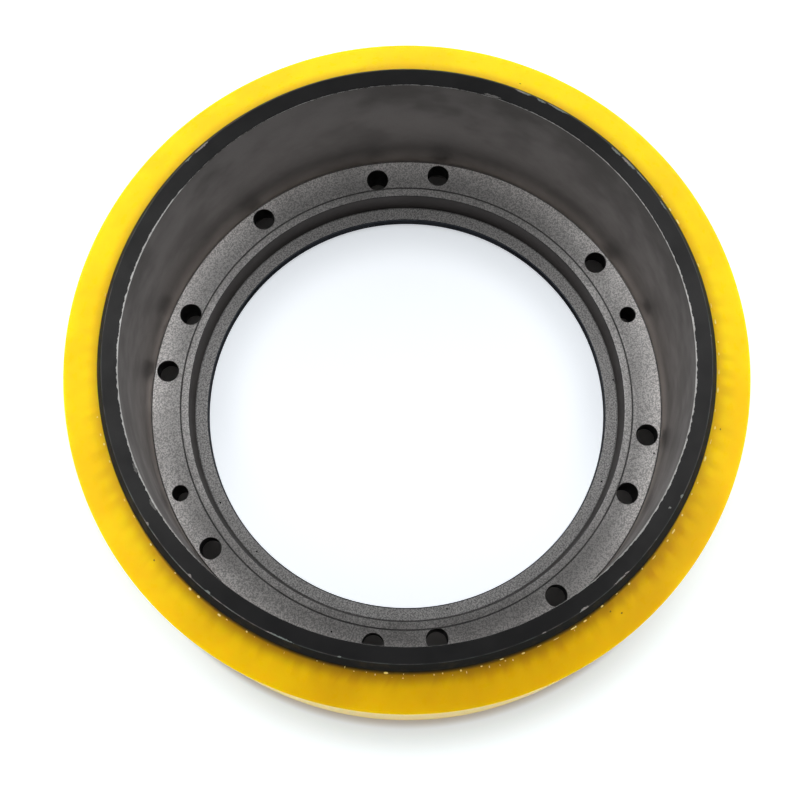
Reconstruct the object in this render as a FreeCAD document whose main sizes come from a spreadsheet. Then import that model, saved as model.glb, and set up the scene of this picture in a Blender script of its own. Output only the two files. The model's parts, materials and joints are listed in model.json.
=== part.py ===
import FreeCAD, Part
import os
import Sketcher

# A drive wheel lying on its flange side. The axis is Z, the floor is z = 0 and the open rim end is on top.
# Sizes are in millimetres and angles in degrees, counted from X.

doc = FreeCAD.newDocument("drive_wheel")
sizes = doc.addObject("Spreadsheet::Sheet", "sizes")

# Each radius is built up from the pilot bore outwards, and each height from the floor upwards.
driving_sizes = [
    ("bore_diameter", 222, "pilot bore that centres the wheel on the drive unit"),
    ("ledge_width", 7.4, "bore wall to the foot of the step"),
    ("ledge_thickness", 7.5, "ledge round the bore, top to back"),
    ("step_depth", 16.5, "flange face down to the ledge"),
    ("step_draft", 1.7, "lean of the step wall over its depth"),
    ("groove_inset", 4.4, "step edge to the middle of the turned groove"),
    ("groove_width", 0.9, "turned groove in the flange face"),
    ("groove_depth", 0.5, "turned groove in the flange face"),
    ("bolt_inset", 13, "step edge to the bolt circle"),
    ("bolt_wall_gap", 7.65, "bolt circle to the rim's inner wall"),
    ("relief_width", 0.8, "tool relief where the flange face meets the wall"),
    ("relief_depth", 0.5, "tool relief where the flange face meets the wall"),
    ("wall_depth", 109, "open rim end down to the flange face"),
    ("back_recess", 7, "lower rim end up to the flange's back face"),
    ("recess_clearance", 1.4, "bolt head pocket to the wall of the back recess"),
    ("rim_wall", 11, "thickness of the rim"),
    ("rim_end_lead", 2.75, "bevel on the outer corner of both rim ends, across the rim"),
    ("rim_end_drop", 6, "bevel on the outer corner of both rim ends, along the axis"),
    ("mouth_break", 0.8, "inner corner of the open rim end"),
    ("edge_break", 0.3, "edges of the bore and the step, and of the holes in the flange face"),
    ("bolt_count", 8, "bolt holes, the first one on X"),
    ("bolt_hole_diameter", 11.5, "clear hole for a 10 mm screw"),
    ("bolt_head_diameter", 18, "pocket for the screw head, from the back"),
    ("bolt_land", 12, "flange left between the head and the flange face"),
    ("inner_hole_inset", 10.2, "step edge to the circle of the inner holes"),
    ("inner_hole_diameter", 11.5, "plain hole right through the flange"),
    ("inner_hole_angle", 60, "from X to the first inner hole"),
    ("jack_hole_diameter", 8.5, "core hole of a 10 mm jacking thread"),
    ("jack_hole_angle", 165, "from X to the first jacking hole"),
    ("tyre_thickness", 19.75, "rim to tread"),
    ("tyre_shoulder", 14.5, "axial length of the sloping tyre side"),
    ("tread_edge_radius", 1, "rounding of both tread edges"),
]

derived_sizes = [
    ("back_face", "back_recess"),
    ("ledge_face", "back_face + ledge_thickness"),
    ("flange_face", "ledge_face + step_depth"),
    ("wheel_top", "flange_face + wall_depth"),
    ("bore_radius", "bore_diameter / 2"),
    ("bore_edge", "bore_radius + edge_break"),
    ("bore_foot", "back_face + edge_break"),
    ("bore_head", "ledge_face - edge_break"),
    ("step_foot", "bore_radius + ledge_width"),
    ("step_brink", "step_foot + step_draft"),
    ("step_edge", "step_brink + edge_break"),
    ("step_head", "flange_face - edge_break"),
    ("groove_inside", "step_brink + groove_inset - groove_width / 2"),
    ("groove_outside", "step_brink + groove_inset + groove_width / 2"),
    ("groove_floor", "flange_face - groove_depth"),
    ("bolt_circle", "step_brink + bolt_inset"),
    ("inner_hole_circle", "step_brink + inner_hole_inset"),
    ("wall_radius", "bolt_circle + bolt_wall_gap"),
    ("relief_edge", "wall_radius - relief_width"),
    ("relief_floor", "flange_face - relief_depth"),
    ("mouth_edge", "wall_radius + mouth_break"),
    ("mouth_foot", "wheel_top - mouth_break"),
    ("recess_radius", "bolt_circle + bolt_head_diameter / 2 + recess_clearance"),
    ("rim_radius", "wall_radius + rim_wall"),
    ("rim_end_radius", "rim_radius - rim_end_lead"),
    ("bond_low", "rim_end_drop"),
    ("bond_high", "wheel_top - rim_end_drop"),
    ("tyre_radius", "rim_radius + tyre_thickness"),
    ("tread_low", "bond_low + tyre_shoulder"),
    ("tread_high", "bond_high - tyre_shoulder"),
    ("bolt_hole_radius", "bolt_hole_diameter / 2"),
    ("bolt_hole_edge", "bolt_hole_radius + edge_break"),
    ("bolt_head_radius", "bolt_head_diameter / 2"),
    ("bolt_head_seat", "flange_face - bolt_land"),
    ("inner_hole_radius", "inner_hole_diameter / 2"),
    ("inner_hole_edge", "inner_hole_radius + edge_break"),
    ("inner_hole_mirror", "180 - inner_hole_angle"),
    ("jack_hole_radius", "jack_hole_diameter / 2"),
    ("jack_hole_edge", "jack_hole_radius + edge_break"),
]

row = 0
for alias, number, note in driving_sizes:
    row += 1
    sizes.set(f"A{row}", note)
    sizes.set(f"B{row}", str(number))
    sizes.setAlias(f"B{row}", alias)
for alias, formula in derived_sizes:
    row += 1
    sizes.set(f"A{row}", formula)
    sizes.set(f"B{row}", "=" + formula)
    sizes.setAlias(f"B{row}", alias)
doc.recompute()


def origin_feature(body, role):
    return next(item for item in body.Origin.OriginFeatures if item.Role == role)


# Corners that lie on the sketch's own axis or on the floor are given as 0.
def tie_corner(sketch, line, direction, axis, alias):
    if alias == 0:
        sketch.addConstraint(Sketcher.Constraint("PointOnObject", line, 1, axis))
        return
    distance = Sketcher.Constraint(direction, -1, 1, line, 1, float(sizes.get(alias)))
    index = sketch.addConstraint(distance)
    sketch.setExpression(f"Constraints[{index}]", f"sizes.{alias}")


# A closed outline of straight lines, with radius and height of every corner tied to the sheet.
def draw_outline(sketch, corners):
    spots = []
    for radius, height in corners:
        across = float(sizes.get(radius)) if radius else 0
        up = float(sizes.get(height)) if height else 0
        spots.append(FreeCAD.Vector(across, up, 0))
    count = len(spots)
    for i in range(count):
        sketch.addGeometry(Part.LineSegment(spots[i], spots[(i + 1) % count]), False)
    for i in range(count):
        sketch.addConstraint(Sketcher.Constraint("Coincident", i, 2, (i + 1) % count, 1))
    for i, (radius, height) in enumerate(corners):
        tie_corner(sketch, i, "DistanceX", -2, radius)
        tie_corner(sketch, i, "DistanceY", -1, height)


def new_sketch(body, name):
    sketch = body.newObject("Sketcher::SketchObject", name)
    sketch.AttachmentSupport = (origin_feature(body, "XZ_Plane"), [""])
    sketch.MapMode = "FlatFace"
    return sketch


def turned_body(name, corners):
    body = doc.addObject("PartDesign::Body", name)
    body.Label = name
    sketch = new_sketch(body, name + "_section")
    draw_outline(sketch, corners)
    turn = body.newObject("PartDesign::Revolution", name + "_turned")
    turn.Profile = sketch
    turn.ReferenceAxis = (sketch, ["V_Axis"])
    turn.Angle = 360
    doc.recompute()
    return body


# A ring of drilled holes: one turned cut about the hole's own axis, repeated about the wheel's axis.
def drill_ring(body, name, corners, circle, angle, count):
    sketch = new_sketch(body, name + "_section")
    sketch.setExpression("AttachmentOffset.Base.x", f"sizes.{circle} * cos({angle})")
    sketch.setExpression("AttachmentOffset.Base.z", f"-sizes.{circle} * sin({angle})")
    draw_outline(sketch, corners)
    doc.recompute()
    before = body.Shape.Volume
    cut = body.newObject("PartDesign::Groove", name + "_drilled")
    cut.Profile = sketch
    cut.ReferenceAxis = (sketch, ["V_Axis"])
    cut.Angle = 360
    doc.recompute()
    one_hole = before - body.Shape.Volume
    ring = body.newObject("PartDesign::PolarPattern", name + "_ring")
    ring.Originals = [cut]
    ring.Axis = (origin_feature(body, "Z_Axis"), [""])
    ring.Angle = 360
    ring.setExpression("Occurrences", str(count))
    body.Tip = ring
    doc.recompute()
    print(name, "one hole", round(one_hole, 2), "all", round(before - body.Shape.Volume, 2))


# The hub: rim, bolting flange, step and pilot bore are one turned ring.
hub = turned_body("flanged_hub", [
    ("bore_edge", "back_face"),
    ("recess_radius", "back_face"),
    ("recess_radius", 0),
    ("rim_end_radius", 0),
    ("rim_radius", "bond_low"),
    ("rim_radius", "bond_high"),
    ("rim_end_radius", "wheel_top"),
    ("mouth_edge", "wheel_top"),
    ("wall_radius", "mouth_foot"),
    ("wall_radius", "relief_floor"),
    ("relief_edge", "relief_floor"),
    ("relief_edge", "flange_face"),
    ("groove_outside", "flange_face"),
    ("groove_outside", "groove_floor"),
    ("groove_inside", "groove_floor"),
    ("groove_inside", "flange_face"),
    ("step_edge", "flange_face"),
    ("step_brink", "step_head"),
    ("step_foot", "ledge_face"),
    ("bore_edge", "ledge_face"),
    ("bore_radius", "bore_head"),
    ("bore_radius", "bore_foot"),
])

# Eight bolt holes, each with a pocket for the screw head in the back of the flange.
drill_ring(hub, "bolt_holes", [
    (0, "flange_face"),
    ("bolt_hole_edge", "flange_face"),
    ("bolt_hole_radius", "step_head"),
    ("bolt_hole_radius", "bolt_head_seat"),
    ("bolt_head_radius", "bolt_head_seat"),
    ("bolt_head_radius", "back_face"),
    (0, "back_face"),
], "bolt_circle", "0", "sizes.bolt_count")

# Four plain holes on a smaller circle: two opposite pairs, mirrored about X.
plain_hole = [
    (0, "flange_face"),
    ("inner_hole_edge", "flange_face"),
    ("inner_hole_radius", "step_head"),
    ("inner_hole_radius", "back_face"),
    (0, "back_face"),
]
drill_ring(hub, "inner_holes", plain_hole, "inner_hole_circle", "sizes.inner_hole_angle", 2)
drill_ring(hub, "inner_holes_mirrored", plain_hole, "inner_hole_circle", "sizes.inner_hole_mirror", 2)

# Two jacking holes on the bolt circle, opposite each other.
drill_ring(hub, "jack_holes", [
    (0, "flange_face"),
    ("jack_hole_edge", "flange_face"),
    ("jack_hole_radius", "step_head"),
    ("jack_hole_radius", "back_face"),
    (0, "back_face"),
], "bolt_circle", "sizes.jack_hole_angle", 2)

# The tyre: cast onto the rim between its end bevels, with sloping sides up to a flat tread.
tyre = turned_body("polyurethane_tyre", [
    ("rim_radius", "bond_low"),
    ("tyre_radius", "tread_low"),
    ("tyre_radius", "tread_high"),
    ("rim_radius", "bond_high"),
])
tread_edges = []
for index, edge in enumerate(tyre.Shape.Edges, start=1):
    is_circle = isinstance(edge.Curve, Part.Circle)
    if is_circle and abs(edge.Curve.Radius - float(sizes.get("tyre_radius"))) < 0.001:
        tread_edges.append(f"Edge{index}")
turned_tyre = tyre.Tip
rounding = tyre.newObject("PartDesign::Fillet", "tread_rounding")
rounding.Base = (turned_tyre, tread_edges)
rounding.setExpression("Radius", "sizes.tread_edge_radius")
tyre.Tip = rounding
doc.recompute()

# Nothing is written unless every object recomputed and both pieces are sound solids.
for item in doc.Objects:
    if "Invalid" in item.State or "Error" in item.State:
        raise RuntimeError(f"{item.Name} did not recompute: {item.State}")
os.makedirs("parts", exist_ok=True)
for body in (hub, tyre):
    if body.Shape.isNull() or not body.Shape.isValid():
        raise RuntimeError(f"{body.Label} has no sound shape")
    body.Shape.exportStep(f"parts/{body.Label}.step")
    box = body.Shape.optimalBoundingBox()
    print(body.Label, "volume", round(body.Shape.Volume), "solids", len(body.Shape.Solids))
    print("  diameter", round(box.XLength, 3), "width", round(box.ZLength, 3), "from z", round(box.ZMin, 3))
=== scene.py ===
import bpy
import json
import math
from mathutils import Matrix, Vector


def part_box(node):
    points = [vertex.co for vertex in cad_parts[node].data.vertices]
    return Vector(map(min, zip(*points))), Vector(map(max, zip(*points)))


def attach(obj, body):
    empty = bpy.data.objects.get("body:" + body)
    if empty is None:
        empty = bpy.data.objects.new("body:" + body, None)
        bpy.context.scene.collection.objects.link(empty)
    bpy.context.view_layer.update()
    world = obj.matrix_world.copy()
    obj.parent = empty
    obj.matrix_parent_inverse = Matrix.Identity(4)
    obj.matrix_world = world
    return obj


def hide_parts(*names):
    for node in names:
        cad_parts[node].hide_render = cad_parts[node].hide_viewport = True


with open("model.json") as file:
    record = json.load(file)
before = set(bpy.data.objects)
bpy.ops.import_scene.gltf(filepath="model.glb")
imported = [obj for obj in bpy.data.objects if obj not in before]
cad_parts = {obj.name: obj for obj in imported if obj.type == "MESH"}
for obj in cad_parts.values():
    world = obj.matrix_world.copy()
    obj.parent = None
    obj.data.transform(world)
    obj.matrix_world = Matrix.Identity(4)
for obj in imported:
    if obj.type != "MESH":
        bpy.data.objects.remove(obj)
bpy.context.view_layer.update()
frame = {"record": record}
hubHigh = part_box("flanged_hub")[1]
tyreLow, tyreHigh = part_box("polyurethane_tyre")
mounts = {mount["name"]: mount for mount in frame["record"]["mounts"]}
mm = 0.001


# node helpers, for shader and geometry trees alike: a value is a constant or another node's output
def setInputs(tree, node, values):
    for name, value in values.items():
        if isinstance(value, bpy.types.NodeSocket):
            tree.links.new(value, node.inputs[name])
        else:
            node.inputs[name].default_value = value


def addNode(tree, kind, values=None, **settings):
    node = tree.nodes.new(kind)
    for name, setting in settings.items():
        setattr(node, name, setting)
    setInputs(tree, node, values or {})
    return node


def maths(tree, operation, first, second=0.0):
    return addNode(tree, "ShaderNodeMath", {0: first, 1: second}, operation=operation).outputs[0]


def vectors(tree, operation, first, second=(0, 0, 0)):
    node = addNode(tree, "ShaderNodeVectorMath", {0: first, 1: second}, operation=operation)
    return node.outputs["Value" if operation in ("DOT_PRODUCT", "LENGTH") else "Vector"]


def scaled(tree, vector, factor):
    node = addNode(tree, "ShaderNodeVectorMath", {0: vector, "Scale": factor}, operation="SCALE")
    return node.outputs["Vector"]


def fade(tree, value, start, end, low=0.0, high=1.0):
    values = {"Value": value, "From Min": start, "From Max": end, "To Min": low, "To Max": high}
    return addNode(tree, "ShaderNodeMapRange", values, interpolation_type="SMOOTHSTEP").outputs[0]


# fades as a direction nears one side, between two cosines of the angle from it
def sideFade(tree, direction, side, edge, middle, low=0.0, high=1.0):
    return fade(tree, vectors(tree, "DOT_PRODUCT", direction, side), edge, middle, low, high)


def mixValues(tree, factor, first, second):
    return addNode(tree, "ShaderNodeMix", {0: factor, 2: first, 3: second}).outputs[0]


def blend(tree, factor, *colours):
    first, second = (each if isinstance(each, bpy.types.NodeSocket) else (*each, 1.0) for each in colours)
    return addNode(tree, "ShaderNodeMix", {0: factor, 6: first, 7: second}, data_type="RGBA").outputs[2]


# in the dictionaries below, a noise is its scale, detail and roughness,
# and its levels are the two values of it that a fade runs between
def noise(tree, where, scale, detail=2.0, roughness=0.5):
    values = {"Vector": where, "Scale": scale, "Detail": detail, "Roughness": roughness}
    return addNode(tree, "ShaderNodeTexNoise", values).outputs[0]


def lineNoise(tree, along, scale, detail):
    values = {"W": along, "Scale": scale, "Detail": detail}
    return addNode(tree, "ShaderNodeTexNoise", values, noise_dimensions="1D").outputs[0]


def relief(tree, height, strength, depth):
    values = {"Height": height, "Strength": strength, "Distance": depth}
    return addNode(tree, "ShaderNodeBump", values).outputs[0]


def newFinish(name):
    finish = bpy.data.materials.new(name)
    finish.use_nodes = True
    return finish, finish.node_tree, finish.node_tree.nodes["Principled BSDF"]


# position in the wheel's frame
def wheelPlace(tree):
    return addNode(tree, "ShaderNodeTexCoord").outputs["Object"]


def heightOf(tree, place):
    return addNode(tree, "ShaderNodeSeparateXYZ", {0: place}).outputs["Z"]


# distance from the wheel's axis, and the direction away from it
def fromAxis(tree, place):
    flat = vectors(tree, "MULTIPLY", place, (1, 1, 0))
    return vectors(tree, "LENGTH", flat), vectors(tree, "NORMALIZE", flat)


# every angle given for a side, chip or hole is in degrees about the wheel's axis
def wheelDirection(angle):
    return Vector((math.cos(math.radians(angle)), math.sin(math.radians(angle)), 0))


# a spot that lies some millimetres from the axis
def wheelSpot(angle, far, height):
    spot = wheelDirection(angle) * far * mm
    spot.z = height
    return spot


# camera
cameraSetup = {
    "aim": (-16.05 * mm, -15.75 * mm, hubHigh.z),  # on the open end of the rim
    "distance": 807.7 * mm,
    "azimuth": -36.474,
    "elevation": 77.661,
    "roll": -0.73,
    "lens": 75.067,
    "sensor": 36.0,
    "clipStart": 10 * mm,
}


def makeCamera(setup):
    azimuth, elevation, roll = (math.radians(setup[key]) for key in ("azimuth", "elevation", "roll"))
    back = Vector((
        math.sin(azimuth) * math.cos(elevation),
        -math.cos(azimuth) * math.cos(elevation),
        math.sin(elevation),
    ))
    level = (-back).cross(Vector((0, 0, 1))).normalized()
    rise = back.cross(level)
    right = math.cos(roll) * level + math.sin(roll) * rise
    up = back.cross(right)
    data = bpy.data.cameras.new("camera")
    data.lens = setup["lens"]
    data.sensor_width = setup["sensor"]
    data.clip_start = setup["clipStart"]
    camera = bpy.data.objects.new("camera", data)
    turn = Matrix((right, up, back)).transposed().to_4x4()
    camera.matrix_world = Matrix.Translation(Vector(setup["aim"]) + back * setup["distance"]) @ turn
    bpy.context.scene.collection.objects.link(camera)
    bpy.context.scene.camera = camera
    return level


pictureRight = makeCamera(cameraSetup)
pictureUp = Vector((0, 0, 1)).cross(pictureRight)  # level, towards the picture's far edge
print("camera placed")

# studio: pale floor under a soft white dome, brighter at the sides and dim overhead and behind the camera
studio = {
    "floorSize": 60.0,
    "floorColour": (0.78, 0.82, 0.87),
    "underColour": (0.60, 0.575, 0.56),  # painted shade under the wheel and along the tyre
    "contactReach": 5 * mm,  # how far that shade runs out from the tyre
    "floorRoughness": 0.9,
    "floorSpecular": 0.1,
    "boreGlowColour": (0.93, 0.965, 1.0),
    "openGlowColour": (0.80, 0.93, 1.0),
    "glowInBore": 0.80,
    "boreFade": 8 * mm,  # how far it runs in under the wheel
    "boreDim": 0.24,  # painted shade: how much less glow there is along the bore's edge
    "boreDimFrom": -27 * mm,
    "boreDimTo": 3 * mm,
    "nearSpread": (-0.1, 0.7),
    "nearDim": 0.1,  # share of the dimming that is left on the near side
    "glowShaded": 0.12,  # just outside the tyre, on its shaded side
    "glowBeside": 0.32,
    "glowOpen": 0.55,
    "glowReach": 34 * mm,
    "shadedSide": 242.0,
    "shadedSpread": (0.55, 1.0),
    "domeColour": (0.97, 0.985, 1.0),
    "dome": 0.42,
    "domeLeft": 2.52,
    "domeRight": 2.28,
    "sidesSpread": (0.32, 0.86),
    "sidesTurn": 12.0,  # degrees from the picture's sides towards its far edge
    "domeNear": -0.36,
    "domeNearSpread": (0.75, 0.97),
    "whiteBand": (0.30, 0.50),  # sine of the elevation up to which the room is a white backdrop
}
farLight = {"right": -0.75, "up": 1.15, "height": 0.30, "width": 1.2, "length": 0.4, "watts": 0.8}


# 1 for what the camera sees, directly, mirrored or through something clear
def seenDirectly(tree):
    path = addNode(tree, "ShaderNodeLightPath").outputs
    shown = maths(tree, "MAXIMUM", path["Is Camera Ray"], path["Is Glossy Ray"])
    return maths(tree, "MAXIMUM", shown, path["Is Transmission Ray"])


def makeFloor(setup):
    half = setup["floorSize"] / 2
    corners = [(-half, -half, 0), (half, -half, 0), (half, half, 0), (-half, half, 0)]
    mesh = bpy.data.meshes.new("floor")
    mesh.from_pydata(corners, [], [(0, 1, 2, 3)])
    floor = bpy.data.objects.new("floor", mesh)
    bpy.context.scene.collection.objects.link(floor)
    finish, tree, shader = newFinish("paleFloor")
    radius, outward = fromAxis(tree, wheelPlace(tree))
    bore, tread = mounts["pilot_bore"]["dims"]["r_mm"] * mm, tyreHigh.x
    boreEnd, contactEnd = bore + setup["boreFade"], tread + setup["contactReach"]
    # the glow is white paper seen directly: none of it under the wheel
    # painted shade in the glow: dimmed along the bore's edge, hardly on its near side, and dimmed beside the
    # tyre on its shaded side
    dim = fade(tree, radius, bore + setup["boreDimFrom"], bore + setup["boreDimTo"], 0.0, setup["boreDim"])
    dimShare = sideFade(tree, outward, -pictureUp, *setup["nearSpread"], 1.0, setup["nearDim"])
    inside = maths(tree, "SUBTRACT", setup["glowInBore"], maths(tree, "MULTIPLY", dim, dimShare))
    inside = maths(tree, "MULTIPLY", inside, fade(tree, radius, bore, boreEnd, 1.0, 0.0))
    shaded = wheelDirection(setup["shadedSide"])
    beside = sideFade(tree, outward, shaded, *setup["shadedSpread"], setup["glowBeside"], setup["glowShaded"])
    beside = maths(tree, "MULTIPLY", beside, fade(tree, radius, tread, contactEnd))
    openFloor = fade(tree, radius, tread, tread + setup["glowReach"])
    outside = mixValues(tree, openFloor, beside, setup["glowOpen"])
    paper = blend(tree, fade(tree, radius, bore, tread), setup["boreGlowColour"], setup["openGlowColour"])
    # painted shade: the floor's colour is darker under the wheel and just along the tyre
    under = fade(tree, radius, bore, boreEnd)
    under = maths(tree, "MULTIPLY", under, fade(tree, radius, tread, contactEnd, 1.0, 0.0))
    setInputs(tree, shader, {
        "Base Color": blend(tree, under, setup["floorColour"], setup["underColour"]),
        "Roughness": setup["floorRoughness"],
        "Specular IOR Level": setup["floorSpecular"],
        "Emission Color": paper,
        "Emission Strength": maths(tree, "MULTIPLY", seenDirectly(tree), maths(tree, "ADD", inside, outside)),
    })
    mesh.materials.append(finish)


def makeRoom(setup):
    world = bpy.data.worlds.new("room")
    world.use_nodes = True
    tree = world.node_tree
    towards = vectors(tree, "NORMALIZE", addNode(tree, "ShaderNodeTexCoord").outputs["Generated"])
    turn = math.radians(setup["sidesTurn"])
    sideways, farther = pictureRight * math.cos(turn), pictureUp * math.sin(turn)
    zones = [
        ("domeLeft", farther - sideways, setup["sidesSpread"]),
        ("domeRight", farther + sideways, setup["sidesSpread"]),
        ("domeNear", -pictureUp, setup["domeNearSpread"]),
    ]
    # each zone adds its own strength around a direction
    strength = setup["dome"]
    for key, centre, spread in zones:
        strength = maths(tree, "ADD", sideFade(tree, towards, centre, *spread, 0.0, setup[key]), strength)
    backdrop = fade(tree, heightOf(tree, towards), *setup["whiteBand"], 1.0, 0.0)
    shown = maths(tree, "MULTIPLY", seenDirectly(tree), backdrop)
    setInputs(tree, tree.nodes["Background"], {
        "Color": (*setup["domeColour"], 1),
        "Strength": mixValues(tree, shown, strength, 1.0),
    })
    bpy.context.scene.world = world


def makeFarLight(setup):
    data = bpy.data.lights.new("farLight", "AREA")
    data.shape = "RECTANGLE"
    data.size, data.size_y = setup["width"], setup["length"]
    data.energy = setup["watts"]
    light = bpy.data.objects.new("farLight", data)
    place = pictureRight * setup["right"] + pictureUp * setup["up"] + Vector((0, 0, setup["height"]))
    facing = (place - Vector((0, 0, hubHigh.z / 2))).normalized()
    along = facing.cross(pictureRight).normalized()
    side = along.cross(facing)
    light.matrix_world = Matrix.Translation(place) @ Matrix((side, along, facing)).transposed().to_4x4()
    bpy.context.scene.collection.objects.link(light)


makeFloor(studio)
makeRoom(studio)
makeFarLight(farLight)
bpy.context.scene.view_settings.view_transform = "Standard"
print("floor, room and light made")


# outline of a turned piece: corners of (radius, height, rounding), with an arc at each rounded corner
arcSteps = 4
holdingGap = 0.15 * mm  # a point beside each arc keeps the long faces flat


def roundedOutline(corners):
    points = []
    for index, (radius, height, rounding) in enumerate(corners):
        corner = Vector((radius, height))
        if rounding == 0:
            points.append(corner)
            continue
        before = (Vector(corners[index - 1][:2]) - corner).normalized()
        after = (Vector(corners[(index + 1) % len(corners)][:2]) - corner).normalized()
        halfAngle = before.angle(after) / 2
        reach = rounding / math.tan(halfAngle)
        centre = corner + (before + after).normalized() * (rounding / math.sin(halfAngle))
        start = corner + before * reach - centre
        sweep = (corner + after * reach - centre).angle_signed(start)
        points.append(corner + before * (reach + holdingGap))
        for step in range(arcSteps + 1):
            points.append(centre + Matrix.Rotation(sweep * step / arcSteps, 2) @ start)
        points.append(corner + after * (reach + holdingGap))
    return points


def newTree(name, inputs):
    tree = bpy.data.node_groups.new(name, "GeometryNodeTree")
    tree.interface.new_socket("Geometry", in_out="OUTPUT", socket_type="NodeSocketGeometry")
    for label, kind in inputs:
        tree.interface.new_socket(label, in_out="INPUT", socket_type="NodeSocket" + kind)
    return tree, tree.nodes.new("NodeGroupInput").outputs


def closeTree(tree, geometry, material):
    whole = addNode(tree, "GeometryNodeRealizeInstances", {"Geometry": geometry}).outputs[0]
    finished = addNode(tree, "GeometryNodeSetMaterial", {"Geometry": whole, "Material": material}).outputs[0]
    tree.links.new(finished, tree.nodes.new("NodeGroupOutput").inputs[0])
    return tree


# a spot at each of a count of angles, at its own distance from the axis and its own height
def ringSpots(tree, count, angle, far, height):
    spot = addNode(tree, "ShaderNodeCombineXYZ", {
        "X": maths(tree, "MULTIPLY", maths(tree, "COSINE", angle), far),
        "Y": maths(tree, "MULTIPLY", maths(tree, "SINE", angle), far),
        "Z": height,
    }).outputs[0]
    return addNode(tree, "GeometryNodePoints", {"Count": count, "Position": spot}).outputs[0]


def evenAngle(tree, count, first):
    share = maths(tree, "DIVIDE", tree.nodes.new("GeometryNodeInputIndex").outputs[0], count)
    return maths(tree, "ADD", maths(tree, "MULTIPLY", share, math.tau), first)


# geometry tree: turns an outline about the wheel's axis
sweepRadius = 10 * mm  # of the circle that carries the outline round


def turnedRingTree():
    inputs = [("Outline", "Geometry"), ("Facets", "Int"), ("Material", "Material")]
    tree, given = newTree("turnedRing", inputs)
    circle = {"Resolution": given["Facets"], "Radius": sweepRadius}
    path = addNode(tree, "GeometryNodeCurvePrimitiveCircle", circle).outputs[0]
    sweep = {"Curve": path, "Profile Curve": given["Outline"]}
    ring = addNode(tree, "GeometryNodeCurveToMesh", sweep).outputs[0]
    return closeTree(tree, ring, given["Material"])


# geometry tree: drills one ring of round holes, straight or tapered
def drilledHolesTree():
    tree, given = newTree("drilledHoles", [
        ("Piece", "Geometry"), ("Circle Radius", "Float"), ("Count", "Int"), ("First Angle", "Float"),
        ("Top Radius", "Float"), ("Bottom Radius", "Float"), ("Top", "Float"), ("Bottom", "Float"),
        ("Facets", "Int"), ("Material", "Material"),
    ])
    drill = addNode(tree, "GeometryNodeMeshCone", {
        "Vertices": given["Facets"],
        "Radius Top": given["Top Radius"],
        "Radius Bottom": given["Bottom Radius"],
        "Depth": maths(tree, "SUBTRACT", given["Top"], given["Bottom"]),
    }).outputs["Mesh"]
    angle = evenAngle(tree, given["Count"], given["First Angle"])
    spots = ringSpots(tree, given["Count"], angle, given["Circle Radius"], given["Bottom"])
    drills = addNode(tree, "GeometryNodeInstanceOnPoints", {"Points": spots, "Instance": drill}).outputs[0]
    cutters = addNode(tree, "GeometryNodeRealizeInstances", {"Geometry": drills}).outputs[0]
    cut = addNode(tree, "GeometryNodeMeshBoolean", {"Mesh 1": given["Piece"], "Mesh 2": cutters},
                  operation="DIFFERENCE", solver="MANIFOLD")
    return closeTree(tree, cut.outputs["Mesh"], given["Material"])


def addTree(piece, tree, settings):
    modifier = piece.modifiers.new(tree.name, "NODES")
    modifier.node_group = tree
    for item in tree.interface.items_tree:
        if item.in_out == "INPUT" and item.name in settings:
            modifier[item.identifier] = settings[item.name]


def outlineObject(name, corners):
    curve = bpy.data.curves.new(name, "CURVE")
    curve.dimensions = "3D"
    spline = curve.splines.new("POLY")
    points = roundedOutline(corners)[::-1]
    spline.points.add(len(points) - 1)
    for spot, point in zip(spline.points, points):
        spot.co = (point.x - sweepRadius, -point.y, 0, 1)
    spline.use_cyclic_u = True
    piece = bpy.data.objects.new(name, curve)
    bpy.context.scene.collection.objects.link(piece)
    return piece


sharpAngle = math.radians(35)
levelNormal = 0.5  # a face is level where its normal points up or down by more than this


def settlePiece(name, source, finishes, finishOf):
    graph = bpy.context.evaluated_depsgraph_get()
    mesh = bpy.data.meshes.new_from_object(source.evaluated_get(graph))
    mesh.name = name
    bpy.data.objects.remove(source)
    mesh.materials.clear()
    for finish in finishes:
        mesh.materials.append(finish)
    for face in mesh.polygons:
        face.material_index = finishOf(face.center, face.normal)
    mesh.shade_smooth()
    mesh.set_sharp_from_angle(angle=sharpAngle)
    piece = bpy.data.objects.new(name, mesh)
    bpy.context.scene.collection.objects.link(piece)
    return piece


turnedRing = turnedRingTree()
drilledHoles = drilledHolesTree()

# tyre
tyreSizes = {
    "rimRadius": hubHigh.x,
    "treadRadius": tyreHigh.x,
    "bondLow": tyreLow.z,
    "bondHigh": tyreHigh.z,
    "shoulder": 14.5 * mm,
    "treadRounding": 1.0 * mm,
    "facets": 480,
}
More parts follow.
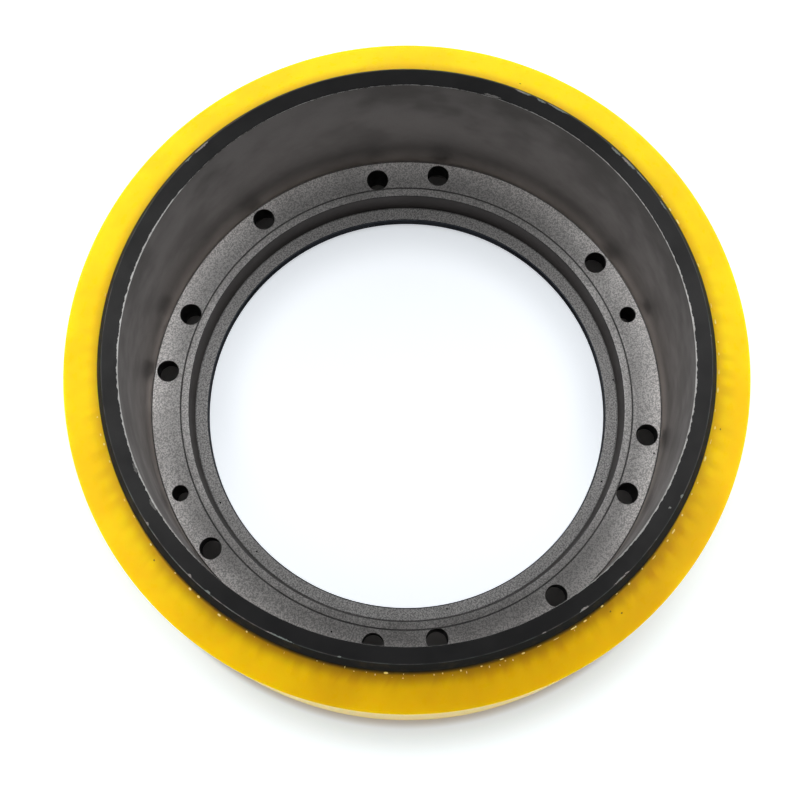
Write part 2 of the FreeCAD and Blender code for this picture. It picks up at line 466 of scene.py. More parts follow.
# cast resin: light goes some way in, most of all red light
resin = {
    "Subsurface Weight": 1.0,
    "Subsurface Radius": (1.0, 0.62, 0.06),
    "Subsurface Scale": 14.0 * mm,
    "Subsurface Anisotropy": 0.5,
    "IOR": 1.5,
}
# deeper tone of the resin, also used for painted shade on the shoulder
deepResinAndShade = (0.61, 0.32, 0.003)
shoulderLook = {
    "colour": (0.91, 0.618, 0.002),
    "innerShadeColour": (0.77, 0.36, 0.006),  # band beside the bond: painted shade where the dark rim darkens the resin
    "innerReach": 7.0 * mm,
    "inner": 0.9,
    "cloudNoise": (30.0, 2.0),
    "cloudLevels": (0.35, 0.7),
    "cloud": 0.25,
    # painted shade: the shoulder is deeper in colour towards this side
    "shadedTyreSide": 252.0,
    "tyreShadeSpread": (0.35, 0.97),
    "tyreShade": 0.4,
    "streakNoise": (19.0, 3.0),
    "streakLevels": (0.42, 0.64),
    "streakSlant": 0.5,
    "streakReach": 12.0 * mm,
    "streak": 0.35,
    "blotchCount": 108,  # golden stripes running out from the bond, between the flecks
    "blotchSides": [(293.0, 0.45, 0.95, 0.38), (183.0, 0.5, 0.95, 0.3)],  # angle, edge, middle, strength
    "blotchStart": 0.2 * mm,
    "blotchMiddle": 4.0 * mm,
    "blotchEnd": 14.5 * mm,
    "blotchJitterNoise": (14.0, 2.0),
    "blotchJitter": 5.0,
    "blotchNoise": (17.0, 2.0),
    "blotchLevels": (0.35, 0.65),
    "blotchLeast": 0.3,
    "bondColour": (0.022, 0.018, 0.006),  # thin edge, with the dark rim showing through
    "edgeReach": 0.4 * mm,
    "darkSide": 233.0,  # where the painted shade is widest
    "darkSpread": (0.3, 1.0),
    "darkReach": 3.5 * mm,
    "shadeReach": 9.0 * mm,  # the softer shade outside it
    "shade": 0.55,
    # angle, and millimetres from the axis
    "specks": [(271, 157.0), (272.5, 161.0), (182, 156.5), (31, 156.5), (310, 157.0), (264, 153.0)],
    "speckSize": 0.5 * mm,
    "speckWander": 0.4 * mm,
    "speckColour": (0.19, 0.125, 0.012),
    "specular": 0.045,
    "grimeNoise": (240.0, 3.0),
    "grimeLevels": (0.3, 0.75),
    "roughness": (0.26, 0.40),
    "relief": (0.05, 0.3 * mm),  # strength, depth
}
# the tread is turned to size: the same resin, with fine marks and faint bands round it. Its colour is the
# shoulder's made darker, as painted shade
treadLook = {
    "colour": (0.78, 0.525, 0.002),
    "cloudNoise": (18.0, 2.0),
    "cloudLevels": (0.3, 0.7),
    "cloud": 0.1,
    "bandNoise": (420.0, 3.0),
    "bandLevels": (0.35, 0.65),
    "band": 0.22,
    "markNoise": (2600.0, 2.0),
    "markLevels": (0.3, 0.7),
    "mark": 0.15,
    "specular": 0.3,
    "roughLevels": (0.3, 0.7),
    "roughness": (0.30, 0.42),
    "relief": (0.5, 0.03 * mm),  # strength, depth
}
raggedEdge = {"Scale": 900.0, "Detail": 3.0}


# a mask that is 1 inside any of the given ragged spots: (place, size across, size around)
def spotMask(tree, place, spots, wander):
    ragged = addNode(tree, "ShaderNodeTexNoise", {"Vector": place, **raggedEdge}).outputs["Color"]
    shift = scaled(tree, vectors(tree, "SUBTRACT", ragged, (0.5, 0.5, 0.5)), wander)
    wandering = vectors(tree, "ADD", place, shift)
    mask = 0.0
    for centre, across, along in spots:
        local = addNode(tree, "ShaderNodeMapping", {
            "Vector": wandering,
            "Location": centre,
            "Rotation": (0, 0, math.atan2(centre.y, centre.x)),
            "Scale": (across, along, across),
        }, vector_type="TEXTURE").outputs[0]
        inSpot = maths(tree, "LESS_THAN", vectors(tree, "LENGTH", local), 1.0)
        mask = maths(tree, "MAXIMUM", inSpot, mask)
    return mask


# soft blotches at even angles round the bond, strongest on two sides
def blotchMask(tree, look, radius, outward, rim):
    flat = addNode(tree, "ShaderNodeSeparateXYZ", {0: outward}).outputs
    angle = maths(tree, "ARCTAN2", flat["Y"], flat["X"])
    jitter = maths(tree, "MULTIPLY", noise(tree, outward, *look["blotchJitterNoise"]), look["blotchJitter"])
    turned = maths(tree, "ADD", maths(tree, "MULTIPLY", angle, look["blotchCount"]), jitter)
    mask = fade(tree, maths(tree, "COSINE", turned), 1.0, -1.0)
    uneven = noise(tree, outward, *look["blotchNoise"])
    uneven = fade(tree, uneven, *look["blotchLevels"], look["blotchLeast"], 1.0)
    mask = maths(tree, "MULTIPLY", mask, uneven)
    start, middle, end = (rim + look[key] for key in ("blotchStart", "blotchMiddle", "blotchEnd"))
    mask = maths(tree, "MULTIPLY", mask, fade(tree, radius, start, middle))
    mask = maths(tree, "MULTIPLY", mask, fade(tree, radius, middle, end, 1.0, 0.0))
    strength = 0.0
    for side, edge, centre, high in look["blotchSides"]:
        onSide = sideFade(tree, outward, wheelDirection(side), edge, centre, 0.0, high)
        strength = maths(tree, "MAXIMUM", onSide, strength)
    return maths(tree, "MULTIPLY", mask, strength)


# share of the deeper colour: clouds all over, blotches along the bond, and painted shade with darker streaks
# on the shaded side
def deepShare(tree, look, place, radius, outward, rim):
    tyreShaded = sideFade(tree, outward, wheelDirection(look["shadedTyreSide"]), *look["tyreShadeSpread"])
    # streaks lean round the wheel as they run out from the bond
    lean = maths(tree, "MULTIPLY", maths(tree, "SUBTRACT", radius, rim), look["streakSlant"] / rim)
    around = vectors(tree, "CROSS_PRODUCT", (0, 0, 1), outward)
    leaning = vectors(tree, "ADD", outward, scaled(tree, around, lean))
    streaks = fade(tree, noise(tree, leaning, *look["streakNoise"]), *look["streakLevels"])
    nearRim = fade(tree, radius, rim, rim + look["streakReach"], 1.0, 0.0)
    streaks = maths(tree, "MULTIPLY", maths(tree, "MULTIPLY", streaks, nearRim), tyreShaded)
    cloud = fade(tree, noise(tree, place, *look["cloudNoise"]), *look["cloudLevels"], 0.0, look["cloud"])
    share = maths(tree, "ADD", maths(tree, "MULTIPLY", streaks, look["streak"]), cloud)
    share = maths(tree, "ADD", share, blotchMask(tree, look, radius, outward, rim))
    return maths(tree, "ADD", share, maths(tree, "MULTIPLY", tyreShaded, look["tyreShade"]))


# painted shade: dark edge along the bond where the rim shows through, wider on the shaded side
def bondShade(tree, look, radius, outward, rim):
    darkened = sideFade(tree, outward, wheelDirection(look["darkSide"]), *look["darkSpread"])
    reach = maths(tree, "MULTIPLY", darkened, look["darkReach"])
    edge = fade(tree, radius, rim, maths(tree, "ADD", reach, rim + look["edgeReach"]), 1.0, 0.0)
    shade = fade(tree, radius, rim, rim + look["shadeReach"], look["shade"], 0.0)
    return maths(tree, "MAXIMUM", edge, maths(tree, "MULTIPLY", shade, darkened))


def shoulderSlope(sizes):
    return sizes["shoulder"] / (sizes["treadRadius"] - sizes["rimRadius"])


def shoulderFinish(look, sizes):
    finish, tree, shader = newFinish("yellowPolyurethane")
    place = wheelPlace(tree)
    radius, outward = fromAxis(tree, place)
    rim = sizes["rimRadius"]
    inner = fade(tree, radius, rim, rim + look["innerReach"], look["inner"], 0.0)
    colour = blend(tree, inner, look["colour"], look["innerShadeColour"])
    colour = blend(tree, deepShare(tree, look, place, radius, outward, rim), colour, deepResinAndShade)
    colour = blend(tree, bondShade(tree, look, radius, outward, rim), colour, look["bondColour"])
    specks = []
    for angle, far in look["specks"]:
        centre = wheelSpot(angle, far, sizes["bondHigh"] - (far * mm - rim) * shoulderSlope(sizes))
        specks.append((centre, look["speckSize"], look["speckSize"]))
    colour = blend(tree, spotMask(tree, place, specks, look["speckWander"]), colour, look["speckColour"])
    grime = noise(tree, place, *look["grimeNoise"])
    setInputs(tree, shader, {
        **resin,
        "Base Color": colour,
        "Roughness": fade(tree, grime, *look["grimeLevels"], *look["roughness"]),
        "Specular IOR Level": look["specular"],
        "Normal": relief(tree, grime, *look["relief"]),
    })
    return finish


def treadFinish(look):
    finish, tree, shader = newFinish("turnedTread")
    place = wheelPlace(tree)
    height = heightOf(tree, place)
    marks = lineNoise(tree, height, *look["markNoise"])
    bands = lineNoise(tree, height, *look["bandNoise"])
    share = fade(tree, noise(tree, place, *look["cloudNoise"]), *look["cloudLevels"], 0.0, look["cloud"])
    share = maths(tree, "ADD", share, fade(tree, bands, *look["bandLevels"], 0.0, look["band"]))
    share = maths(tree, "ADD", share, fade(tree, marks, *look["markLevels"], 0.0, look["mark"]))
    setInputs(tree, shader, {
        **resin,
        "Base Color": blend(tree, share, look["colour"], deepResinAndShade),
        "Roughness": fade(tree, bands, *look["roughLevels"], *look["roughness"]),
        "Specular IOR Level": look["specular"],
        "Normal": relief(tree, marks, *look["relief"]),
    })
    return finish


def makeTyre(sizes):
    low, high = sizes["bondLow"], sizes["bondHigh"]
    outline = outlineObject("tyreOutline", [
        (sizes["rimRadius"], low, 0),
        (sizes["treadRadius"], low + sizes["shoulder"], sizes["treadRounding"]),
        (sizes["treadRadius"], high - sizes["shoulder"], sizes["treadRounding"]),
        (sizes["rimRadius"], high, 0),
    ])
    finishes = [shoulderFinish(shoulderLook, sizes), treadFinish(treadLook)]
    addTree(outline, turnedRing, {"Facets": sizes["facets"], "Material": finishes[0]})
    tyre = settlePiece("yellow_tyre", outline, finishes,
                       lambda centre, normal: int(abs(normal.z) < levelNormal))
    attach(tyre, "root")
    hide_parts("polyurethane_tyre")


makeTyre(tyreSizes)
print("tyre made")

# pale flecks along the bond, on the tyre's sloping shoulder
fleckRings = [
    {
        "Count": 108, "Inner Radius": 152.5 * mm, "Outer Radius": 154.0 * mm,
        "Side": 293.0, "Edge": 0.2, "Middle": 1.0, "Jitter": 0.018,
        "Across": 0.38 * mm, "Along": 1.0 * mm, "Spread": 0.6, "Seed": 4,
    },
    {
        "Count": 190, "Inner Radius": 152.6 * mm, "Outer Radius": 155.2 * mm,
        "Side": 234.0, "Edge": 0.7, "Middle": 1.1, "Jitter": 0.02,
        "Across": 0.45 * mm, "Along": 0.24 * mm, "Spread": 0.6, "Seed": 9,
    },
    {
        "Count": 108, "Inner Radius": 152.6 * mm, "Outer Radius": 154.4 * mm,
        "Side": 165.0, "Edge": 0.6, "Middle": 1.2, "Jitter": 0.02,
        "Across": 0.4 * mm, "Along": 0.6 * mm, "Spread": 0.6, "Seed": 12,
    },
]
fleckHeight = 0.5  # of its size across
fleckDetail = 2  # subdivisions of a fleck's ball
fleckLook = {
    "colour": (0.90, 0.72, 0.26),
    "shade": (0.87, 0.62, 0.11),
    "shadeNoise": (700.0, 2.0),
    "shadeLevels": (0.35, 0.65),
    "roughness": 0.35,
    "specular": 0.3,
}


# a random number: sockets 2 and 3 are its limits, and 8 is its seed
def randomValue(tree, low, high, seed, step):
    values = {2: low, 3: high, 8: maths(tree, "ADD", seed, step)}
    return addNode(tree, "FunctionNodeRandomValue", values).outputs[1]


# geometry tree: adds a ring of small lumps on a cone, thinned out away from one side
def fleckRingTree():
    tree, given = newTree("fleckRing", [
        ("Piece", "Geometry"), ("Count", "Int"), ("Inner Radius", "Float"), ("Outer Radius", "Float"),
        ("Cone Radius", "Float"), ("Cone Height", "Float"), ("Slope", "Float"),
        ("Side", "Float"), ("Edge", "Float"), ("Middle", "Float"), ("Jitter", "Float"),
        ("Across", "Float"), ("Along", "Float"), ("Spread", "Float"), ("Seed", "Int"),
        ("Material", "Material"),
    ])
    seed = given["Seed"]
    wander = maths(tree, "MULTIPLY", randomValue(tree, -1.0, 1.0, seed, 0), given["Jitter"])
    angle = evenAngle(tree, given["Count"], wander)
    far = randomValue(tree, given["Inner Radius"], given["Outer Radius"], seed, 1)
    fall = maths(tree, "MULTIPLY", maths(tree, "SUBTRACT", far, given["Cone Radius"]), given["Slope"])
    height = maths(tree, "SUBTRACT", given["Cone Height"], fall)
    towardsSide = maths(tree, "COSINE", maths(tree, "SUBTRACT", angle, given["Side"]))
    likely = fade(tree, towardsSide, given["Edge"], given["Middle"])
    least, most = (maths(tree, way, 1.0, given["Spread"]) for way in ("SUBTRACT", "ADD"))
    ball = {"Radius": 1.0, "Subdivisions": fleckDetail}
    lumps = addNode(tree, "GeometryNodeInstanceOnPoints", {
        "Points": ringSpots(tree, given["Count"], angle, far, height),
        "Selection": maths(tree, "LESS_THAN", randomValue(tree, 0.0, 1.0, seed, 2), likely),
        "Instance": addNode(tree, "GeometryNodeMeshIcoSphere", ball).outputs["Mesh"],
        "Rotation": addNode(tree, "ShaderNodeCombineXYZ", {
            "Y": maths(tree, "ARCTANGENT", given["Slope"]),
            "Z": angle,
        }).outputs[0],
        "Scale": addNode(tree, "ShaderNodeCombineXYZ", {
            "X": maths(tree, "MULTIPLY", given["Across"], randomValue(tree, least, most, seed, 3)),
            "Y": maths(tree, "MULTIPLY", given["Along"], randomValue(tree, least, most, seed, 4)),
            "Z": maths(tree, "MULTIPLY", given["Across"], fleckHeight),
        }).outputs[0],
    }).outputs[0]
    joined = addNode(tree, "GeometryNodeJoinGeometry", {0: lumps})
    tree.links.new(given["Piece"], joined.inputs[0])
    return closeTree(tree, joined.outputs[0], given["Material"])


def fleckFinish(look):
    finish, tree, shader = newFinish("paleFlecks")
    clouds = fade(tree, noise(tree, wheelPlace(tree), *look["shadeNoise"]), *look["shadeLevels"])
    setInputs(tree, shader, {
        "Base Color": blend(tree, clouds, look["colour"], look["shade"]),
        "Roughness": look["roughness"],
        "Specular IOR Level": look["specular"],
    })
    return finish


def makeFlecks(rings, sizes):
    finish = fleckFinish(fleckLook)
    piece = bpy.data.objects.new("fleckSpots", bpy.data.meshes.new("fleckSpots"))
    bpy.context.scene.collection.objects.link(piece)
    tree = fleckRingTree()
    for ring in rings:
        addTree(piece, tree, {
            **ring, "Side": math.radians(ring["Side"]), "Material": finish,
            "Cone Radius": sizes["rimRadius"], "Cone Height": sizes["bondHigh"],
            "Slope": shoulderSlope(sizes),
        })
    flecks = settlePiece("bond_flecks", piece, [finish], lambda centre, normal: 0)
    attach(flecks, "root")


makeFlecks(fleckRings, tyreSizes)
print("flecks made")

# hub
hubSizes = {
    "boreRadius": mounts["pilot_bore"]["dims"]["r_mm"] * mm,
    "backFace": 7.0 * mm,
    "ledgeFace": 14.5 * mm,
    "flangeFace": mounts["wheel_bolts"]["pos_m"][2],
    "stepFoot": 118.4 * mm,
    "stepBrink": 120.1 * mm,
    "grooveInside": 124.05 * mm,
    "grooveOutside": 124.95 * mm,
    "grooveDepth": 0.5 * mm,
    "wallRadius": 140.75 * mm,
    "reliefWidth": 0.8 * mm,
    "reliefDepth": 0.5 * mm,
    "recessRadius": 143.5 * mm,
    "rimRadius": hubHigh.x,
    "rimEndLead": 2.75 * mm,
    "rimEndDrop": hubHigh.z - tyreHigh.z,
    "wheelTop": hubHigh.z,
    "mouthRounding": 0.8 * mm,
    "edgeRounding": 0.35 * mm,
    "boreRounding": 0.6 * mm,
    "fineRounding": 0.1 * mm,
    "facets": 480,
}
holeSizes = {
    "boltHeadRadius": 9.0 * mm,
    "boltLand": 12.0 * mm,
    "innerAngle": 60.0,
    "jackAngle": 165.0,
    "edgeBreak": 0.3 * mm,
    "overrun": 2.0 * mm,
    "facets": 48,
}


def hubOutline(sizes):
    top, flange = sizes["wheelTop"], sizes["flangeFace"]
    edge, fine = sizes["edgeRounding"], sizes["fineRounding"]
    drop = sizes["rimEndDrop"]
    rimEnd = sizes["rimRadius"] - sizes["rimEndLead"]
    reliefInside = sizes["wallRadius"] - sizes["reliefWidth"]
    return [
        (sizes["boreRadius"], sizes["backFace"], edge),
        (sizes["recessRadius"], sizes["backFace"], edge),
        (sizes["recessRadius"], 0, edge),
        (rimEnd, 0, edge),
        (sizes["rimRadius"], drop, 0),
        (sizes["rimRadius"], top - drop, 0),
        (rimEnd, top, edge),
        (sizes["wallRadius"], top, sizes["mouthRounding"]),
        (sizes["wallRadius"], flange - sizes["reliefDepth"], fine),
        (reliefInside, flange - sizes["reliefDepth"], fine),
        (reliefInside, flange, fine),
        (sizes["grooveOutside"], flange, fine),
        (sizes["grooveOutside"], flange - sizes["grooveDepth"], fine),
        (sizes["grooveInside"], flange - sizes["grooveDepth"], fine),
        (sizes["grooveInside"], flange, fine),
        (sizes["stepBrink"], flange, edge),
        (sizes["stepFoot"], sizes["ledgeFace"], edge),
        (sizes["boreRadius"], sizes["ledgeFace"], sizes["boreRounding"]),
    ]


# every ring of holes as (circle radius, count, first angle, top radius, bottom radius, top, bottom)
def holeRings(sizes, holes):
    top, bottom = sizes["flangeFace"], sizes["backFace"]
    over, edge = holes["overrun"], holes["edgeBreak"]
    bolts, inner, jacks = (mounts[name]["dims"] for name in ("wheel_bolts", "inner_holes", "jacking_holes"))
    boltCircle = bolts["pcd_mm"] * mm / 2
    innerCircle = math.hypot(inner["spacing_x_mm"], inner["spacing_y_mm"]) * mm / 2
    innerAngles = (holes["innerAngle"], 180 - holes["innerAngle"])
    drilled = [(boltCircle, bolts["count"], 0.0, bolts["hole_r_mm"] * mm)]
    drilled += [(innerCircle, inner["count"] // 2, angle, inner["hole_r_mm"] * mm) for angle in innerAngles]
    drilled += [(boltCircle, jacks["count"], holes["jackAngle"], jacks["hole_r_mm"] * mm)]
    rings = []
    for circle, count, angle, radius in drilled:
        rings.append((circle, count, angle, radius, radius, top + over, bottom - over))
        rings.append((circle, count, angle, radius + edge + over, radius, top + over, top - edge))
    head = holes["boltHeadRadius"]
    rings.append((boltCircle, bolts["count"], 0.0, head, head, top - holes["boltLand"], bottom - over))
    return rings


# machined iron: turning marks round the axis, fine grain, soft smudges, dark specks and a few pits, with
# painted light and shade by height or radius
ironLooks = {
    "smoothWall": {
        "colour": (0.097, 0.087, 0.081), "dark": (0.048, 0.043, 0.039), "roughness": 0.44, "anisotropic": 0.3,
        "edgeTint": (1.0, 0.96, 0.935), "tangent": "axis", "markScale": 500.0, "markDepth": 0.006 * mm,
        "grainScale": 900.0, "grain": 0.15, "smudgeScale": 26.0, "smudge": 0.45, "specks": 0.1,
        "paintedShading": [("height", 31 * mm, 54 * mm, 4.2, 1.25), ("height", 60 * mm, 138 * mm, 1.0, 0.42)],
    },
    "turnedFace": {
        "colour": (0.68, 0.661, 0.648), "dark": (0.32, 0.311, 0.305), "roughness": 0.50, "anisotropic": 1.0,
        "tangent": "outward", "markScale": 900.0, "markDepth": 0.02 * mm,
        "grainScale": 1500.0, "grain": 0.9, "smudgeScale": 22.0, "smudge": 0.25, "specks": 0.6,
        "paintedShading": [("radius", 121 * mm, 127 * mm, 1.15, 1.0), ("radius", 127 * mm, 139 * mm, 1.03, 1.5)],
        "pits": [(311, 138.3), (215, 131.6)], "pitHeight": hubSizes["flangeFace"],
    },
    "ledgeFace": {
        "colour": (0.68, 0.664, 0.652), "dark": (0.26, 0.253, 0.248), "roughness": 0.48, "anisotropic": 0.6,
        "tangent": "outward", "markScale": 900.0, "markDepth": 0.02 * mm,
        "grainScale": 1300.0, "grain": 0.9, "smudgeScale": 22.0, "smudge": 0.25, "specks": 0.6,
        "paintedShading": [("radius", 117.6 * mm, 118.1 * mm, 1.0, 0.35)],
        "pits": [(331, 117.5), (302, 115.8), (170, 115.9), (187, 114.9), (244, 113.8)],
        "pitHeight": hubSizes["ledgeFace"],
    },
    "stepWall": {
        "colour": (0.068, 0.061, 0.058), "dark": (0.040, 0.036, 0.034), "roughness": 0.45, "anisotropic": 0.4,
        "edgeTint": (0.7, 0.7, 0.7), "tangent": "axis", "markScale": 1100.0, "markDepth": 0.02 * mm,
        "grainScale": 1500.0, "grain": 0.4, "smudgeScale": 40.0, "smudge": 0.4, "specks": 0.2,
        "paintedShading": [("height", 14.5 * mm, 16.5 * mm, 0.35, 1.0), ("height", 29 * mm, 31 * mm, 1.0, 0.5)],
    },
    "boreWall": {
        "colour": (0.06, 0.063, 0.07), "dark": (0.03, 0.032, 0.036), "roughness": 0.4, "anisotropic": 0.4,
        "edgeTint": (0.15, 0.15, 0.15), "tangent": "axis", "markScale": 1100.0, "markDepth": 0.015 * mm,
        "grainScale": 1500.0, "grain": 0.3, "smudgeScale": 40.0, "smudge": 0.4, "specks": 0.1,
    },
    "grooveFace": {
        "colour": (0.20, 0.195, 0.19), "dark": (0.08, 0.078, 0.076), "roughness": 0.5, "anisotropic": 0.6,
        "tangent": "outward", "markScale": 900.0, "markDepth": 0.02 * mm,
        "grainScale": 1500.0, "grain": 0.8, "smudgeScale": 40.0, "smudge": 0.5, "specks": 0.4,
    },
    "drilledHole": {
        "colour": (0.045, 0.044, 0.043), "dark": (0.015, 0.015, 0.015), "roughness": 0.5, "anisotropic": 0.0,
        "tangent": "axis", "markScale": 1500.0, "markDepth": 0.03 * mm,
        "grainScale": 1500.0, "grain": 0.3, "smudgeScale": 60.0, "smudge": 0.5, "specks": 0.0,
    },
    "backFace": {
        "colour": (0.33, 0.32, 0.31), "dark": (0.19, 0.185, 0.18), "roughness": 0.5, "anisotropic": 0.5,
        "tangent": "outward", "markScale": 500.0, "markDepth": 0.04 * mm,
        "grainScale": 1100.0, "grain": 0.7, "smudgeScale": 22.0, "smudge": 0.5, "specks": 0.4,
    },
}
# what every face of the iron shares
ironSurface = {
    "markDetail": 3.0,
    "markStrength": 0.6,
    "grainDetail": 2.0,
    "grainLevels": (0.37, 0.63),
    "grainRelief": 0.5,  # beside the turning marks
    "smudgeDetail": (3.0, 0.6),
    "smudgeLevels": (0.42, 0.68),
    "speckNoise": (420.0, 1.0),
    "speckLevels": (0.70, 0.78),
    "roughLevels": (0.3, 0.7),
    "roughSpread": (-0.06, 0.08),
    "pitColour": (0.01, 0.01, 0.01),
    "pitSize": 0.5 * mm,
    "pitWander": 0.3 * mm,
    "edgeTint": (1.0, 1.0, 1.0),
}


def ironFinish(name, look, shared):
    finish, tree, shader = newFinish(name)
    place = wheelPlace(tree)
    radius, outward = fromAxis(tree, place)
    height = heightOf(tree, place)
    across = maths(tree, "ADD", radius, height)  # runs along flat faces and walls alike
    marks = lineNoise(tree, across, look["markScale"], shared["markDetail"])
    grain = noise(tree, place, look["grainScale"], shared["grainDetail"])
    smudges = noise(tree, place, look["smudgeScale"], *shared["smudgeDetail"])
    specks = noise(tree, place, *shared["speckNoise"])
    speckShade = fade(tree, specks, *shared["speckLevels"], 0.0, look["specks"])
    grainShade = fade(tree, grain, *shared["grainLevels"], 0.0, look["grain"])
    smudgeShade = fade(tree, smudges, *shared["smudgeLevels"], 0.0, look["smudge"])
    shade = maths(tree, "MAXIMUM", maths(tree, "MAXIMUM", grainShade, smudgeShade), speckShade)
    colour = blend(tree, shade, look["colour"], look["dark"])
    # painted light and shade: the colour scaled by height or radius, as a wall brighter at its foot and
    # darker towards the mouth, or a face darker at a step's foot
    for along, start, end, low, high in look.get("paintedShading", []):
        paintedShading = fade(tree, radius if along == "radius" else height, start, end, low, high)
        colour = scaled(tree, colour, paintedShading)
    if "pits" in look:
        size = shared["pitSize"]
        pits = [(wheelSpot(*pit, look["pitHeight"]), size, size) for pit in look["pits"]]
        colour = blend(tree, spotMask(tree, place, pits, shared["pitWander"]), colour, shared["pitColour"])
    tangent = outward
    if look["tangent"] == "axis":
        tangent = addNode(tree, "ShaderNodeCombineXYZ", {"Z": 1.0}).outputs[0]
    low, high = (look["roughness"] + change for change in shared["roughSpread"])
    bumps = maths(tree, "ADD", marks, maths(tree, "MULTIPLY", grain, shared["grainRelief"]))
    setInputs(tree, shader, {
        "Base Color": colour,
        "Metallic": 1.0,
        "Roughness": fade(tree, smudges, *shared["roughLevels"], low, high),
        "Anisotropic": look["anisotropic"],
        "Tangent": tangent,
        "Specular Tint": (*look.get("edgeTint", shared["edgeTint"]), 1),
        "Normal": relief(tree, bumps, shared["markStrength"], look["markDepth"]),
    })
    return finish


# black paint on both rim ends, worn to bare metal along the mouth and chipped along the outer corner
paintLook = {
    "colour": (0.0035, 0.0036, 0.004),
    "bareMetal": (0.56, 0.55, 0.53),
    "scuff": (0.09, 0.086, 0.082),
    "flake": (0.145, 0.168, 0.153),
    "paleFlake": (0.21, 0.185, 0.175),
    "flakeNoise": (160.0, 2.0),
    "flakeLevels": (0.42, 0.6),
    "specular": 0.48,
    "anisotropic": 1.0,
    "specularTint": (1.0, 0.97, 0.95),
    "smearNoise": (45.0, 3.0, 0.6),
    "smearLevels": (0.3, 0.7),
    "roughness": (0.40, 0.57),
    "peelNoise": (700.0, 2.0),
    "peel": (0.25, 0.05 * mm),  # strength, depth
    "mouthWear": 0.7 * mm,
    "mouthLeast": 0.15,  # share of that wear away from the worn sides
    "wornSides": [(307.0, 1.0), (146.0, 1.0), (352.0, 0.42), (45.0, 0.26)],  # angle, strength
    "wornSpread": (0.64, 0.92),
    "wornNoise": (45.0, 4.0, 0.6),
    "wornLevels": (0.3, 0.7),
    "wornReach": (0.4, 1.35),
    "cornerLineWidth": 0.45 * mm,
    "cornerNoise": (14.0, 4.0, 0.6),
    "cornerLevels": (0.35, 0.65),
    "corner": (0.03, 0.24),
    "cornerSide": (189.0, 0.92, 0.98, 3.0),  # where it shows most, as painted highlight: angle, edge, middle, strength
    # angle and radius, then width across and length around, in millimetres
    "chips": [
        (29.5, 148.8, 1.2, 9.0), (25.5, 148.4, 1.0, 5.0), (22.0, 148.9, 1.3, 12.0),
        (96.5, 148.6, 1.1, 9.0), (100.0, 148.9, 1.1, 4.5), (326.5, 149.4, 1.2, 1.6),
        (295.0, 148.7, 1.0, 2.0), (292.0, 146.1, 0.8, 1.1), (285.5, 149.4, 1.0, 1.5),
        (276.0, 148.6, 0.6, 11.0), (267.0, 149.0, 1.6, 5.0), (258.5, 149.0, 0.8, 2.0),
        (176.5, 148.8, 1.2, 2.0), (189.0, 148.7, 1.3, 2.5), (193.5, 148.8, 1.5, 3.0),
        (209.0, 148.9, 0.9, 16.0), (220.5, 148.8, 1.0, 1.5), (353.8, 148.8, 0.8, 6.0),
        (7.8, 148.3, 1.0, 7.0), (4.5, 148.5, 1.3, 9.0), (0.9, 149.1, 1.3, 8.0),
    ],
    "chipWander": 1.4 * mm,
    "mouthScuffs": [(35.0, 141.4, 1.1, 9.0), (166.0, 141.8, 1.3, 5.0), (174.0, 141.8, 1.5, 6.5)],
    "scuffWander": 2.2 * mm,
}


def rimSpots(spots, height):
    for angle, radius, across, along in spots:
        yield wheelSpot(angle, radius, height), across * mm / 2, along * mm / 2


# thin bare line along the mouth
def mouthLine(tree, look, radius, outward, wall):
    wear = look["mouthLeast"]
    for angle, strength in look["wornSides"]:
        onSide = sideFade(tree, outward, wheelDirection(angle), *look["wornSpread"], 0.0, strength)
        wear = maths(tree, "MAXIMUM", onSide, wear)
    ragged = fade(tree, noise(tree, outward, *look["wornNoise"]), *look["wornLevels"], *look["wornReach"])
    reach = maths(tree, "MULTIPLY", maths(tree, "MULTIPLY", wear, ragged), look["mouthWear"])
    return maths(tree, "LESS_THAN", maths(tree, "SUBTRACT", radius, wall), reach)


# rubbed line along the outer corner of the end face, partly wear and partly a painted highlight, strongest on
# one side
def cornerLine(tree, look, radius, outward, corner):
    away = maths(tree, "ABSOLUTE", maths(tree, "SUBTRACT", radius, corner))
    line = fade(tree, away, look["cornerLineWidth"] / 2, look["cornerLineWidth"], 1.0, 0.0)
    uneven = fade(tree, noise(tree, outward, *look["cornerNoise"]), *look["cornerLevels"], *look["corner"])
    line = maths(tree, "MULTIPLY", line, uneven)
    angle, edge, middle, strength = look["cornerSide"]
    onSide = sideFade(tree, outward, wheelDirection(angle), edge, middle, 1.0, strength)
    return maths(tree, "MULTIPLY", line, onSide)


def rimPaintFinish(look, sizes):
    finish, tree, shader = newFinish("rimPaint")
    place = wheelPlace(tree)
    radius, outward = fromAxis(tree, place)
    top, wall = sizes["wheelTop"], sizes["wallRadius"]
    bare = mouthLine(tree, look, radius, outward, wall)
    rubbedAndLit = cornerLine(tree, look, radius, outward, sizes["rimRadius"] - sizes["rimEndLead"])
    scuffs = spotMask(tree, place, rimSpots(look["mouthScuffs"], top), look["scuffWander"])
    chips = spotMask(tree, place, rimSpots(look["chips"], top), look["chipWander"])
    pale = fade(tree, noise(tree, place, *look["flakeNoise"]), *look["flakeLevels"])
    flake = blend(tree, pale, look["flake"], look["paleFlake"])
    colour = blend(tree, maths(tree, "MAXIMUM", rubbedAndLit, chips), look["colour"], flake)
    colour = blend(tree, scuffs, colour, look["scuff"])
    smears = noise(tree, place, *look["smearNoise"])
    setInputs(tree, shader, {
        "Base Color": blend(tree, bare, colour, look["bareMetal"]),
        "Metallic": bare,
        "Roughness": fade(tree, smears, *look["smearLevels"], *look["roughness"]),
        "Anisotropic": look["anisotropic"],
        "Tangent": outward,
        "Specular IOR Level": look["specular"],
        "Specular Tint": (*look["specularTint"], 1),
        "Normal": relief(tree, noise(tree, place, *look["peelNoise"]), *look["peel"]),
    })
    return finish


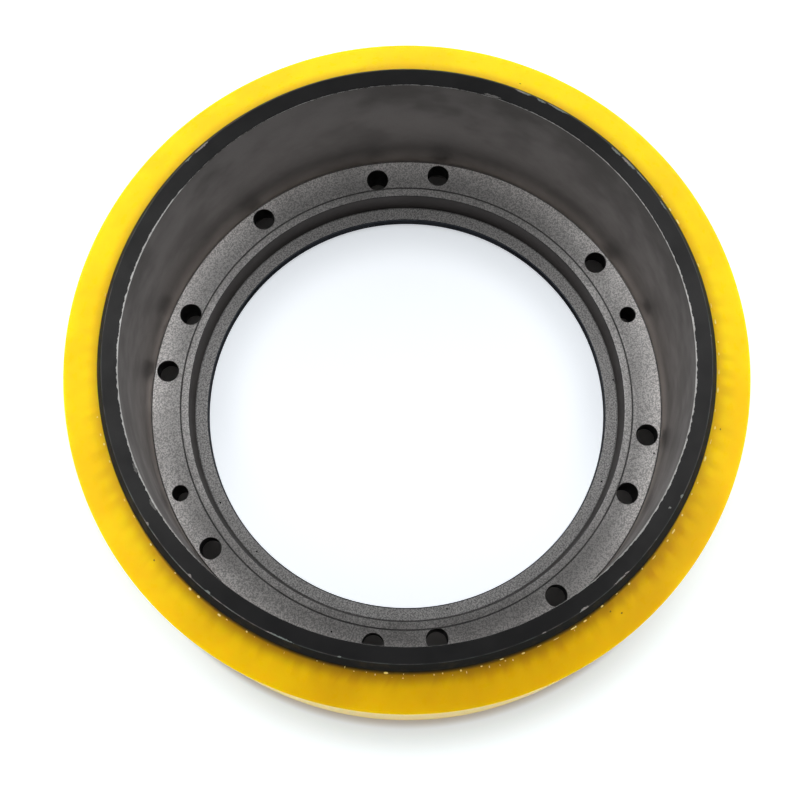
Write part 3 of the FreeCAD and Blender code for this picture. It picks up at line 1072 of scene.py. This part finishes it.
# the rim's sloping edge beside the bond: dull black, with thin smears of brown primer
dullLook = {
    "colour": (0.004, 0.004, 0.0038),
    "smear": (0.016, 0.012, 0.006),
    "smearNoise": (120.0, 3.0, 0.6),
    "smearLevels": (0.5, 0.7),
    "roughness": 0.7,
    "specular": 0.08,
}


def dullPaintFinish(look):
    finish, tree, shader = newFinish("dullPaint")
    smears = fade(tree, noise(tree, wheelPlace(tree), *look["smearNoise"]), *look["smearLevels"])
    setInputs(tree, shader, {
        "Base Color": blend(tree, smears, look["colour"], look["smear"]),
        "Roughness": look["roughness"],
        "Specular IOR Level": look["specular"],
    })
    return finish


hubFinishes = ["rimPaint", "dullPaint", *ironLooks]
faceSlack = 0.06 * mm


def hubFinishName(sizes, centre, normal):
    radius, height = math.hypot(centre.x, centre.y), centre.z
    facesUp, facesDown = normal.z > levelNormal, normal.z < -levelNormal
    wall, flange, back = sizes["wallRadius"], sizes["flangeFace"], sizes["backFace"]
    rimEnd = sizes["rimRadius"] - sizes["rimEndLead"]
    if radius > rimEnd + faceSlack and not facesUp and not facesDown:
        return "dullPaint"
    onTop = height > sizes["wheelTop"] - sizes["rimEndDrop"]
    if onTop and (facesUp or radius > wall + faceSlack) or radius > sizes["recessRadius"] + faceSlack:
        return "rimPaint"
    if radius > wall - faceSlack and height > flange - sizes["reliefDepth"]:
        return "smoothWall"
    if facesUp and height > flange - faceSlack:
        return "turnedFace"
    shallow = height > flange - max(sizes["grooveDepth"], sizes["reliefDepth"]) - faceSlack
    inGroove = sizes["grooveInside"] - faceSlack < radius < sizes["grooveOutside"] + faceSlack
    if shallow and (inGroove or radius > wall - sizes["reliefWidth"] - faceSlack):
        return "grooveFace"
    if radius < sizes["boreRadius"] + sizes["boreRounding"] and height > back + faceSlack:
        return "boreWall"
    if facesUp and radius < sizes["stepFoot"] + faceSlack:
        return "ledgeFace"
    if radius < sizes["stepBrink"] + sizes["edgeRounding"] and not facesDown:
        return "stepWall"
    if facesDown and height < back + faceSlack or radius > sizes["recessRadius"] - faceSlack:
        return "backFace"
    return "drilledHole"


def makeHub(sizes, holes):
    outline = outlineObject("hubOutline", hubOutline(sizes))
    finishes = [rimPaintFinish(paintLook, sizes), dullPaintFinish(dullLook)]
    finishes += [ironFinish(name, look, ironSurface) for name, look in ironLooks.items()]
    addTree(outline, turnedRing, {"Facets": sizes["facets"], "Material": finishes[0]})
    for circle, count, angle, topRadius, bottomRadius, top, bottom in holeRings(sizes, holes):
        addTree(outline, drilledHoles, {
            "Circle Radius": circle, "Count": count, "First Angle": math.radians(angle),
            "Top Radius": topRadius, "Bottom Radius": bottomRadius, "Top": top, "Bottom": bottom,
            "Facets": holes["facets"], "Material": finishes[0],
        })
    hub = settlePiece("turned_hub", outline, finishes,
                      lambda centre, normal: hubFinishes.index(hubFinishName(sizes, centre, normal)))
    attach(hub, "root")
    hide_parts("flanged_hub")


makeHub(hubSizes, holeSizes)
print("hub made")

bpy.context.view_layer.update()
